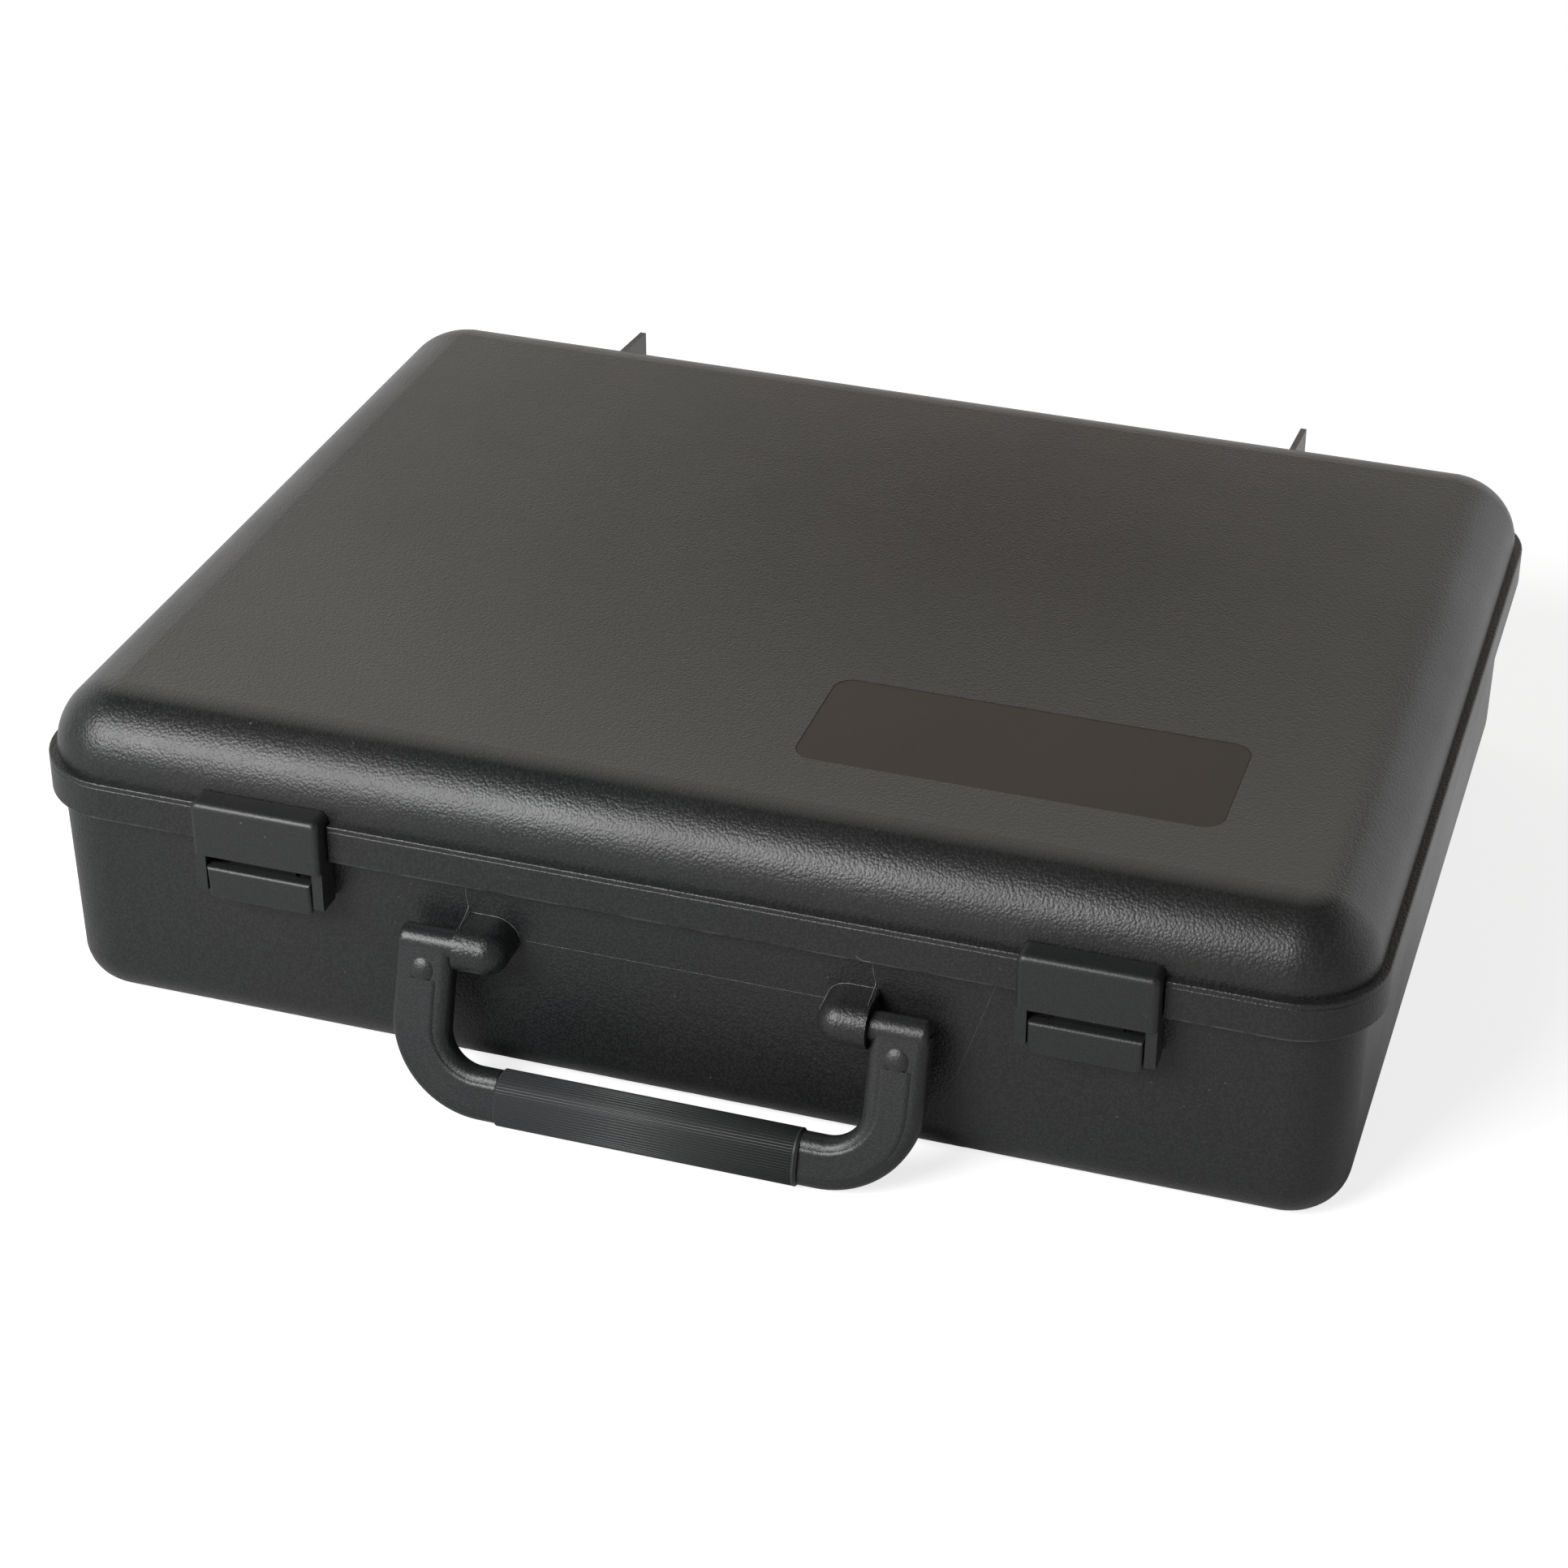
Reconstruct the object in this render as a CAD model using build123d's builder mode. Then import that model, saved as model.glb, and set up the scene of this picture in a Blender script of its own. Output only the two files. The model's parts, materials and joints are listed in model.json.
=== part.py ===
"""Hard plastic tool case with a lift-out tray, a drop handle and two over-centre latches.

Millimetres, +Z up. The origin is on the floor, under the middle of the case.
The handle and the latches are on the front, which faces -Y; the lid is hinged at the rear.
"""

import os
from math import acos, cos, radians, sin

from build123d import *

# ------------------------------------------------------------------ case
case_length = 390.0  # X, over the rim
case_depth = 293.0  # Y, over the rim
base_height = 76.5  # floor to the parting plane, where the lid meets the base
lid_height = 22.5  # parting plane to lid top
wall = 2.5
rim_height = 10.5  # band round the mouth of the base
rim_step = 4.4  # rim stands out from the base wall
rim_corner = 25.0  # corner radius seen from above
rim_edge = 0.6
base_corner = 18.0
base_taper = 1.0  # the base wall leans in by this much at the floor
base_round = 13.0  # round along the bottom edge

# ------------------------------------------------------------------ lid
lid_step = 2.6  # lid wall stands in from the rim
lid_flange = 1.5
lid_round = 20.0  # round along the top edge
label_length = 122.0
label_width = 45.3
label_corner = 6.0
label_x = 82.4
label_y = -80.2
label_recess = 0.6
label_thickness = 0.5
label_gap = 0.15

# ------------------------------------------------------------------ hinges
hinge_x = 116.5  # centre of each hinge
pin_radius = 1.25
pin_gap = 0.05  # running clearance on every pin and stud
barrel_radius = 2.7
hinge_stand_off = 0.25  # barrel to the rear of the rim
hinge_drop = 1.0  # hinge axis below the parting plane
lid_knuckle = 16.0
base_knuckle = 10.0
knuckle_gap = 0.4
fin_thickness = 2.0
fin_drop = 3.5  # rear tip of a fin below the lid top
fin_start = 24.0  # degrees round the lid's edge where a fin leaves it
foot_thickness = 2.4
foot_length = 35.5  # hinge axis to the lower end of the rear feet
foot_slope = 10.0  # a foot's lower edge rises by this much towards the rear

# ------------------------------------------------------------------ handle
handle_axis_height = 48.2
handle_stand_off = 2.7  # handle axis in front of the rim
handle_half_width = 77.5
handle_leg_width = 17.0
handle_drop = 49.0  # axis to the outer edge of the bar
handle_thickness = 8.4
handle_bar_height = 15.0
handle_outer_corner = 28.0
handle_inner_corner = 10.0
handle_edge = 3.4
handle_knuckle_radius = 4.3
handle_knuckle_inset = 0.5  # knuckle's end to the outer side of the leg
handle_knuckle_round = 1.8
handle_core_width = 10.4  # raised core down the middle of legs and bar
handle_core_thickness = 9.4
handle_core_edge = 2.0
handle_core_start = 10.0  # axis to the upper end of the raised core
boss_radius = 6.7
boss_inner = 45.0  # tip of the rounded end of a boss
boss_outer = 60.0  # flat end of a boss
stub_radius = 3.4
stub_length = 10.0
stub_shoulder = 0.3  # leg's knuckle to the flat end of a boss
grip_half_length = 44.5
grip_height = 16.4
grip_thickness = 12.6
grip_core_height = 11.0
grip_core_thickness = 6.4
grip_core_corner = 1.5
grip_corner = 6.0
grip_gap = 0.05
floor_gap = 0.3  # grip to the floor with the handle down

# ------------------------------------------------------------------ latches
latch_x = 119.4
latch_width = 39.0
latch_proud = 5.0  # latch face in front of the rim
latch_rise = 4.6  # top of the hook above the parting plane
hook_thickness = 2.2
hook_lip = 2.4
hook_leg = 3.3
hook_leg_drop = 24.5  # lower end of the hook's legs below the parting plane
hook_leg_recess = 1.2
hook_window_drop = 12.3
hook_edge = 1.9
hook_corner = 2.4
hook_clearance = 0.3  # lip to the lid wall
hook_rear_gap = 0.9  # legs to the base wall
latch_gap = 0.5  # notch in rim and flange, each side
latch_axis_drop = 10.5  # lever axis below the parting plane
latch_axis_proud = 0.1  # lever axis in front of the rim
link_drop = 20.5
link_inset = 1.0  # hook pivot nearer the wall than the lever pivot
lug_thickness = 3.0
lug_spacing = 23.0  # between the middles of a latch's two lugs
lug_radius = 2.4
lever_gap = 0.4
lever_proud = 4.7
lever_top_drop = 16.3
lever_height = 10.8
lever_thickness = 3.6
lever_arm_root = 3.5  # depth of the arm's foot behind the top of the lever
lever_taper = 0.9
lever_cheek = 3.0
lever_edge = 0.8  # overlap of arm and cheeks with the back of the lever
lever_round = 1.1
lever_corner = 2.0
link_radius = 1.4
link_wall = 0.9
stud_cover = 0.6  # skin left over the blind end of a stud's bore

# ------------------------------------------------------------------ tray
tray_gap = 5.0  # tray to the wall of the base
tray_height = 30.0
tray_wall = 2.0
tray_floor = 2.0
tray_corner = 16.0
tray_drop = 4.5  # top of the tray below the parting plane
tray_split_y = -30.0  # wall between the long pocket and the row of small ones
divider_count = 3
divider_thickness = 1.6
divider_gap = 0.1
divider_rail = 1.5
divider_drop = 3.0  # top of a divider below the top of the tray
finger_slot_length = 70.0
finger_slot_height = 12.0
finger_slot_top = 8.0  # web above the slot
rib_thickness = 3.0
rib_reach = 16.0
rib_positions_x = (-150.0, 0.0, 150.0)
rib_positions_y = (-75.0, 75.0)

# ------------------------------------------------------------------ worked out
half_length = case_length / 2
half_depth = case_depth / 2
case_height = base_height + lid_height
rim_bottom = base_height - rim_height
base_half_length = half_length - rim_step
base_half_depth = half_depth - rim_step
lid_half_depth = half_depth - lid_step
lid_corner = rim_corner - lid_step
lid_edge_round = min(lid_round, lid_height - lid_flange)

hinge_y = half_depth + hinge_stand_off + barrel_radius
hinge_z = base_height - hinge_drop
hinge_rear = hinge_y + barrel_radius
foot_bottom = hinge_z - foot_length
hinge_span = lid_knuckle + 2 * (knuckle_gap + base_knuckle)
bore_radius = pin_radius + pin_gap

handle_y = -half_depth - handle_stand_off
boss_straight = boss_inner + boss_radius
leg_inner = handle_half_width - handle_leg_width
grip_centre = handle_drop - handle_bar_height / 2
handle_tilt = acos(min(1, (handle_axis_height - grip_height / 2 - floor_gap) / grip_centre))
handle_plane = Plane(
    origin=(0, handle_y, handle_axis_height),
    x_dir=(1, 0, 0),
    z_dir=(0, -cos(handle_tilt), sin(handle_tilt)),
)
grip_section = Plane(
    origin=handle_plane.from_local_coords((0, -grip_centre, 0)),
    x_dir=handle_plane.y_dir,
    z_dir=(1, 0, 0),
)

latch_half = latch_width / 2
latch_face = -half_depth - latch_proud
hook_top = base_height + latch_rise
hook_leg_end = base_height - hook_leg_drop
hook_window_top = base_height - hook_window_drop
hook_back = latch_face + hook_thickness
hook_lip_end = -lid_half_depth - hook_clearance
hook_leg_front = latch_face + hook_leg_recess
hook_leg_rear = -base_half_depth - hook_rear_gap
lever_axis_y = -half_depth - latch_axis_proud
latch_axis_height = base_height - latch_axis_drop
link_height = base_height - link_drop
link_y = lever_axis_y + link_inset
lever_top = base_height - lever_top_drop
lever_bottom = lever_top - lever_height
lever_half = latch_half - hook_leg - lever_gap
lever_front = -half_depth - lever_proud
lever_back = lever_front + lever_thickness
lever_arm_half = (lug_spacing - lug_thickness) / 2 - lever_gap
stud_length = lever_gap + hook_leg - stud_cover - pin_gap

tray_half_length = base_half_length - wall - tray_gap
tray_half_depth = base_half_depth - wall - tray_gap
tray_top = base_height - tray_drop
tray_seat = tray_top - tray_height  # top of the ribs that carry the tray
pocket_half_length = tray_half_length - tray_wall
pocket_rear = tray_half_depth - tray_wall
pocket_front = tray_split_y + tray_wall / 2

os.makedirs("parts", exist_ok=True)


def save(part, name):
    """Label one finished piece and write it as its own STEP file."""
    part.label = name
    export_step(part, f"parts/{name}.step")


def plan(inset, corner):
    """Draw the case's outline seen from above, drawn in by inset."""
    RectangleRounded(case_length - 2 * inset, case_depth - 2 * inset, corner)


def rod(radius, start_x, end_x, y, z, mode=Mode.ADD):
    """Place a cylinder along X from start_x to end_x."""
    with Locations(Location(((start_x + end_x) / 2, y, z), (0, 90, 0))):
        Cylinder(radius, abs(end_x - start_x), mode=mode)


def block(low, high, mode=Mode.ADD):
    """Place a box from its lowest to its highest corner."""
    with Locations(tuple((a + b) / 2 for a, b in zip(low, high))):
        Box(*(b - a for a, b in zip(low, high)), mode=mode)


def slab(points, middle_x, half_width):
    """Extrude an outline drawn in Y and Z, half_width to each side of middle_x."""
    with BuildSketch(Plane.YZ.offset(middle_x)) as outline:
        with BuildLine():
            Polyline(*points, close=True)
        make_face()
    extrude(outline.sketch, amount=half_width, both=True)


# ================================================================== base
with BuildPart() as base_cavity:
    with BuildSketch(Plane.XY.offset(wall)):
        plan(rim_step + base_taper + wall, base_corner - wall)
    with BuildSketch(Plane.XY.offset(base_height)):
        plan(rim_step + wall, base_corner - wall)
    loft()
    fillet(base_cavity.faces().sort_by(Axis.Z)[0].edges(), base_round - wall)

with BuildPart() as base_outer:
    with BuildSketch():
        plan(rim_step + base_taper, base_corner)
    with BuildSketch(Plane.XY.offset(rim_bottom + rim_edge)):
        plan(rim_step, base_corner)
    loft()
    fillet(base_outer.faces().sort_by(Axis.Z)[0].edges(), base_round)

with BuildPart() as rim_band:
    with BuildSketch(Plane.XY.offset(rim_bottom)):
        plan(0, rim_corner)
    extrude(amount=rim_height)
    fillet(rim_band.faces().filter_by(Axis.Z).edges(), rim_edge)
    for sign in (-1, 1):
        notch = latch_half + latch_gap
        block(
            (sign * latch_x - notch, -half_depth, rim_bottom),
            (sign * latch_x + notch, -base_half_depth, base_height),
            mode=Mode.SUBTRACT,
        )

with BuildPart() as tray_ribs:
    for rib_x in rib_positions_x:
        for end in (-1, 1):
            slab(
                (
                    (end * base_half_depth, 0),
                    (end * base_half_depth, tray_seat),
                    (end * (base_half_depth - wall - rib_reach), tray_seat),
                    (end * (base_half_depth - wall - rib_reach), 0),
                ),
                rib_x,
                rib_thickness / 2,
            )
    for rib_y in rib_positions_y:
        for end in (-1, 1):
            with Locations((end * (base_half_length - (wall + rib_reach) / 2), rib_y, tray_seat / 2)):
                Box(wall + rib_reach, rib_thickness, tray_seat)
    add(base_outer.part, mode=Mode.INTERSECT)

with BuildPart() as handle_bosses:
    with BuildSketch(Plane.XZ.offset(-handle_y)):
        for sign in (-1, 1):
            with Locations((sign * (boss_straight + boss_outer) / 2, handle_axis_height)):
                Rectangle(boss_outer - boss_straight, 2 * boss_radius)
            with Locations((sign * boss_straight, handle_axis_height)):
                Circle(boss_radius)
    extrude(amount=handle_y + base_half_depth - wall / 2)
    for sign in (-1, 1):
        rod(boss_radius, sign * boss_straight, sign * boss_outer, handle_y, handle_axis_height)
        with Locations(Location((sign * boss_straight, handle_y, handle_axis_height), (90, sign * 45, 0))):
            Sphere(boss_radius)
    for sign in (-1, 1):
        bore_end = boss_outer - stub_length - pin_gap
        rod(
            stub_radius + pin_gap,
            sign * bore_end,
            sign * boss_outer,
            handle_y,
            handle_axis_height,
            Mode.SUBTRACT,
        )

with BuildPart() as latch_lugs:
    for sign in (-1, 1):
        for lug_sign in (-1, 1):
            lug_x = sign * latch_x + lug_sign * lug_spacing / 2
            slab(
                (
                    (lever_axis_y, latch_axis_height - lug_radius),
                    (lever_axis_y, latch_axis_height + lug_radius),
                    (-base_half_depth + wall / 2, latch_axis_height + lug_radius),
                    (-base_half_depth + wall / 2, latch_axis_height - 2 * lug_radius),
                ),
                lug_x,
                lug_thickness / 2,
            )
            ends = (lug_x - lug_thickness / 2, lug_x + lug_thickness / 2)
            rod(lug_radius, *ends, lever_axis_y, latch_axis_height)
            rod(bore_radius, *ends, lever_axis_y, latch_axis_height, Mode.SUBTRACT)

with BuildPart() as rear_knuckles:
    for sign in (-1, 1):
        for knuckle_sign in (-1, 1):
            start = sign * hinge_x + knuckle_sign * (lid_knuckle / 2 + knuckle_gap)
            end = start + knuckle_sign * base_knuckle
            middle = (start + end) / 2
            web_top = (base_half_depth - wall / 2, hinge_z)
            slab(
                (
                    web_top,
                    (hinge_y, hinge_z),
                    (hinge_y, hinge_z - barrel_radius),
                    (web_top[0], hinge_z - barrel_radius),
                ),
                middle,
                base_knuckle / 2,
            )
            slab(
                (
                    web_top,
                    (hinge_y, hinge_z),
                    (hinge_rear, hinge_z),
                    (hinge_rear, foot_bottom + foot_slope),
                    (base_half_depth - wall / 2, foot_bottom),
                ),
                middle,
                foot_thickness / 2,
            )
            rod(barrel_radius, start, end, hinge_y, hinge_z)
            rod(bore_radius, start, end, hinge_y, hinge_z, Mode.SUBTRACT)

with BuildPart() as base_shell:
    add(base_outer.part)
    add(rim_band.part)
    add(rear_knuckles.part)
    add(base_cavity.part, mode=Mode.SUBTRACT)
    add(tray_ribs.part)
    add(handle_bosses.part)
    add(latch_lugs.part)
save(base_shell.part, "base_shell")

# ================================================================== lid
with BuildPart() as lid_cavity:
    with BuildSketch(Plane.XY.offset(base_height)):
        plan(lid_step + wall, lid_corner - wall)
    extrude(amount=case_height - wall - base_height)
    fillet(lid_cavity.faces().sort_by(Axis.Z)[-1].edges(), lid_edge_round - wall)

with BuildPart() as lid_flange_ring:
    with BuildSketch(Plane.XY.offset(base_height)):
        plan(0, rim_corner)
    extrude(amount=lid_flange)
    fillet(lid_flange_ring.faces().sort_by(Axis.Z)[-1].edges(), rim_edge)
    for sign in (-1, 1):
        notch = latch_half + latch_gap
        block(
            (sign * latch_x - notch, -half_depth, base_height),
            (sign * latch_x + notch, -lid_half_depth, base_height + lid_flange),
            mode=Mode.SUBTRACT,
        )

with BuildPart() as lid_hinge_halves:
    edge_y = lid_half_depth - lid_edge_round
    edge_z = case_height - lid_edge_round
    skin_radius = lid_edge_round - wall / 2
    for sign in (-1, 1):
        middle = sign * hinge_x
        block(
            (middle - lid_knuckle / 2, lid_half_depth - wall / 2, base_height),
            (middle + lid_knuckle / 2, hinge_y, hinge_z + barrel_radius),
        )
        fin_angle = radians(fin_start)
        slab(
            (
                (lid_half_depth - wall / 2, hinge_z + hinge_drop),
                (lid_half_depth - wall / 2, edge_z),
                (edge_y + skin_radius * sin(fin_angle), edge_z + skin_radius * cos(fin_angle)),
                (edge_y + lid_edge_round * sin(fin_angle), edge_z + lid_edge_round * cos(fin_angle)),
                (hinge_rear, case_height - fin_drop),
                (hinge_rear, hinge_z),
                (hinge_y, hinge_z),
                (hinge_y, hinge_z + hinge_drop),
            ),
            middle,
            fin_thickness / 2,
        )
        ends = (middle - lid_knuckle / 2, middle + lid_knuckle / 2)
        rod(barrel_radius, *ends, hinge_y, hinge_z)
        rod(bore_radius, *ends, hinge_y, hinge_z, Mode.SUBTRACT)

with BuildPart() as lid_shell:
    with BuildSketch(Plane.XY.offset(base_height)):
        plan(lid_step, lid_corner)
    extrude(amount=case_height - base_height)
    fillet(lid_shell.faces().sort_by(Axis.Z)[-1].edges(), lid_edge_round)
    add(lid_flange_ring.part)
    add(lid_hinge_halves.part)
    add(lid_cavity.part, mode=Mode.SUBTRACT)
    with BuildSketch(Plane.XY.offset(case_height)):
        with Locations((label_x, label_y)):
            RectangleRounded(label_length, label_width, label_corner)
    extrude(amount=-label_recess, mode=Mode.SUBTRACT)
save(lid_shell.part, "lid_shell")

with BuildPart() as label_plate:
    with BuildSketch(Plane.XY.offset(case_height - label_recess)):
        with Locations((label_x, label_y)):
            RectangleRounded(
                label_length - 2 * label_gap,
                label_width - 2 * label_gap,
                label_corner - label_gap,
            )
    extrude(amount=label_thickness)
save(label_plate.part, "label_plate")

# ================================================================== handle
with BuildPart() as handle_frame:
    with BuildSketch(handle_plane) as handle_outline:
        with Locations((0, -handle_drop / 2)):
            Rectangle(2 * handle_half_width, handle_drop)
        fillet(handle_outline.vertices().group_by(Axis.Y)[0], handle_outer_corner)
        with Locations((0, -(handle_drop - handle_bar_height) / 2 + handle_inner_corner)):
            RectangleRounded(
                2 * leg_inner,
                handle_drop - handle_bar_height + 2 * handle_inner_corner,
                handle_inner_corner,
                mode=Mode.SUBTRACT,
            )
    extrude(amount=handle_thickness / 2, both=True)
    leg_tops = handle_axis_height - handle_thickness / 2
    face_edges = handle_frame.faces().filter_by(handle_plane).edges()
    fillet(face_edges.filter_by(lambda edge: edge.center().Z < leg_tops), handle_edge)
    with BuildLine(handle_plane) as handle_core_path:
        leg_middle = handle_half_width - handle_leg_width / 2
        FilletPolyline(
            (-leg_middle, -handle_core_start),
            (-leg_middle, -grip_centre),
            (leg_middle, -grip_centre),
            (leg_middle, -handle_core_start),
            radius=(handle_outer_corner + handle_inner_corner) / 2,
        )
    core_section = Plane(
        origin=handle_core_path.line @ 0,
        x_dir=handle_plane.x_dir,
        z_dir=handle_core_path.line % 0,
    )
    with BuildSketch(core_section):
        RectangleRounded(handle_core_width, handle_core_thickness, handle_core_edge)
    sweep(path=handle_core_path.line)
    with Locations(handle_core_path.line @ 0, handle_core_path.line @ 1):
        Sphere(handle_core_thickness / 2)
    with Locations(handle_plane * Location((0, -grip_centre, 0))):
        Box(2 * grip_half_length, 2 * handle_bar_height, 2 * handle_bar_height, mode=Mode.SUBTRACT)
    with BuildSketch(grip_section):
        RectangleRounded(grip_core_height, grip_core_thickness, grip_core_corner)
    extrude(amount=grip_half_length, both=True)
    for sign in (-1, 1):
        shoulder = sign * (boss_outer + stub_shoulder)
        knuckle_end = sign * (handle_half_width - handle_knuckle_inset)
        with BuildPart(mode=Mode.PRIVATE) as handle_knuckle:
            rod(handle_knuckle_radius, shoulder, knuckle_end, handle_y, handle_axis_height)
            outer_end = handle_knuckle.edges().sort_by(lambda edge: abs(edge.center().X))[-1]
            fillet(outer_end, handle_knuckle_round)
        add(handle_knuckle.part)
        rod(stub_radius, sign * (boss_outer - stub_length), shoulder, handle_y, handle_axis_height)
save(handle_frame.part, "handle_frame")

with BuildPart() as handle_grip:
    with BuildSketch(grip_section):
        RectangleRounded(grip_height, grip_thickness, grip_corner)
        RectangleRounded(
            grip_core_height + 2 * grip_gap,
            grip_core_thickness + 2 * grip_gap,
            grip_core_corner + grip_gap,
            mode=Mode.SUBTRACT,
        )
    extrude(amount=grip_half_length - grip_gap, both=True)
save(handle_grip.part, "handle_grip")

# ================================================================== latches and hinge pins
for side, sign in (("left", -1), ("right", 1)):
    centre = sign * latch_x

    with BuildPart() as latch_hook:
        slab(
            (
                (latch_face, hook_window_top),
                (latch_face, hook_top),
                (hook_lip_end, hook_top),
                (hook_lip_end, hook_top - hook_lip),
                (hook_back, hook_top - hook_lip),
                (hook_back, hook_window_top),
            ),
            centre,
            latch_half,
        )
        for leg_sign in (-1, 1):
            slab(
                (
                    (hook_leg_front, hook_leg_end),
                    (hook_leg_front, hook_window_top),
                    (latch_face, hook_window_top),
                    (latch_face, hook_top),
                    (hook_lip_end, hook_top),
                    (hook_lip_end, base_height - hook_clearance),
                    (hook_leg_rear, base_height - hook_clearance),
                    (hook_leg_rear, hook_leg_end),
                ),
                centre + leg_sign * (latch_half - hook_leg / 2),
                hook_leg / 2,
            )
        top_corners = latch_hook.faces().sort_by(Axis.Z)[-1].edges().filter_by(Axis.Y)
        fillet(top_corners, hook_corner)
        face_edges = latch_hook.faces().sort_by(Axis.Y)[0].edges()
        fillet(face_edges.filter_by(lambda edge: edge.center().Z > hook_window_top + hook_edge), hook_edge)
        for leg_sign in (-1, 1):
            leg_inner_x = centre + leg_sign * (latch_half - hook_leg)
            bore_end_x = centre + leg_sign * (latch_half - stud_cover)
            rod(link_radius + pin_gap, leg_inner_x, bore_end_x, link_y, link_height, Mode.SUBTRACT)
    save(latch_hook.part, f"latch_hook_{side}")

    with BuildPart() as latch_lever:
        slab(
            (
                (lever_front + lever_taper, lever_bottom),
                (lever_front, lever_top),
                (lever_back, lever_top),
                (lever_back, lever_bottom),
            ),
            centre,
            lever_half,
        )
        lower_corners = latch_lever.faces().sort_by(Axis.Z)[0].edges().sort_by(Axis.X)
        fillet([lower_corners[0], lower_corners[-1]], lever_corner)
        fillet(latch_lever.faces().sort_by(Axis.Y)[0].edges(), lever_round)
        slab(
            (
                (lever_back - lever_edge, lever_top - lever_arm_root),
                (lever_back - lever_edge, lever_top - lever_edge),
                (lever_axis_y, lever_top - lever_edge),
                (lever_axis_y, latch_axis_height),
                (lever_axis_y + lug_radius, latch_axis_height),
                (lever_axis_y + lug_radius, lever_top - lever_arm_root),
            ),
            centre,
            lever_arm_half,
        )
        rod(lug_radius, centre - lever_arm_half, centre + lever_arm_half, lever_axis_y, latch_axis_height)
        rod(
            bore_radius,
            centre - lever_arm_half,
            centre + lever_arm_half,
            lever_axis_y,
            latch_axis_height,
            Mode.SUBTRACT,
        )
        for cheek_sign in (-1, 1):
            cheek_outer = centre + cheek_sign * lever_half
            cheek_inner = cheek_outer - cheek_sign * lever_cheek
            link_reach = link_radius + link_wall
            slab(
                (
                    (lever_back - lever_edge, link_height - link_reach),
                    (lever_back - lever_edge, link_height + link_reach),
                    (link_y, link_height + link_reach),
                    (link_y, link_height - link_reach),
                ),
                (cheek_outer + cheek_inner) / 2,
                lever_cheek / 2,
            )
            rod(link_reach, cheek_inner, cheek_outer, link_y, link_height)
            rod(link_radius, cheek_outer, cheek_outer + cheek_sign * stud_length, link_y, link_height)
    save(latch_lever.part, f"latch_lever_{side}")

    with BuildPart() as latch_pin:
        pin_half = (lug_spacing + lug_thickness) / 2
        rod(pin_radius, centre - pin_half, centre + pin_half, lever_axis_y, latch_axis_height)
    save(latch_pin.part, f"latch_pin_{side}")

    with BuildPart() as hinge_pin:
        hinge_middle = sign * hinge_x
        rod(pin_radius, hinge_middle - hinge_span / 2, hinge_middle + hinge_span / 2, hinge_y, hinge_z)
    save(hinge_pin.part, f"hinge_pin_{side}")

# ================================================================== tray
pocket_pitch = (2 * pocket_half_length + divider_thickness) / (divider_count + 1)
divider_positions = [
    -pocket_half_length - divider_thickness / 2 + pocket_pitch * (index + 1)
    for index in range(divider_count)
]

with BuildPart() as tool_tray:
    with BuildSketch(Plane.XY.offset(tray_seat)):
        RectangleRounded(2 * tray_half_length, 2 * tray_half_depth, tray_corner)
    extrude(amount=tray_height)
    fillet(tool_tray.faces().sort_by(Axis.Z)[0].edges(), tray_wall)
    with BuildSketch(Plane.XY.offset(tray_seat + tray_floor)):
        RectangleRounded(2 * pocket_half_length, 2 * (tray_half_depth - tray_wall), tray_corner - tray_wall)
        with Locations((0, tray_split_y)):
            Rectangle(2 * tray_half_length, tray_wall, mode=Mode.SUBTRACT)
        for divider_x in divider_positions:
            for rail_sign in (-1, 1):
                rail_x = divider_x + rail_sign * ((divider_thickness + divider_rail) / 2 + divider_gap)
                for rail_y in (pocket_front, pocket_rear):
                    with Locations((rail_x, rail_y)):
                        Rectangle(divider_rail, 2 * divider_rail, mode=Mode.SUBTRACT)
    extrude(amount=tray_height, mode=Mode.SUBTRACT)
    slot_top = tray_top - finger_slot_top
    block(
        (-tray_half_length, -finger_slot_length / 2, slot_top - finger_slot_height),
        (tray_half_length, finger_slot_length / 2, slot_top),
        mode=Mode.SUBTRACT,
    )
save(tool_tray.part, "tool_tray")

for index, divider_x in enumerate(divider_positions):
    with BuildPart() as tray_divider:
        block(
            (divider_x - divider_thickness / 2, pocket_front + divider_gap, tray_seat + tray_floor),
            (divider_x + divider_thickness / 2, pocket_rear - divider_gap, tray_top - divider_drop),
        )
    save(tray_divider.part, f"tray_divider_{index + 1}")
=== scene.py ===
"""Looks of the hard plastic tool case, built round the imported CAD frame. Metres, +Z up, front at -Y."""

import json
from math import cos, radians, sin, tau

import bmesh
import bpy
from mathutils import Matrix, Vector


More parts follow.
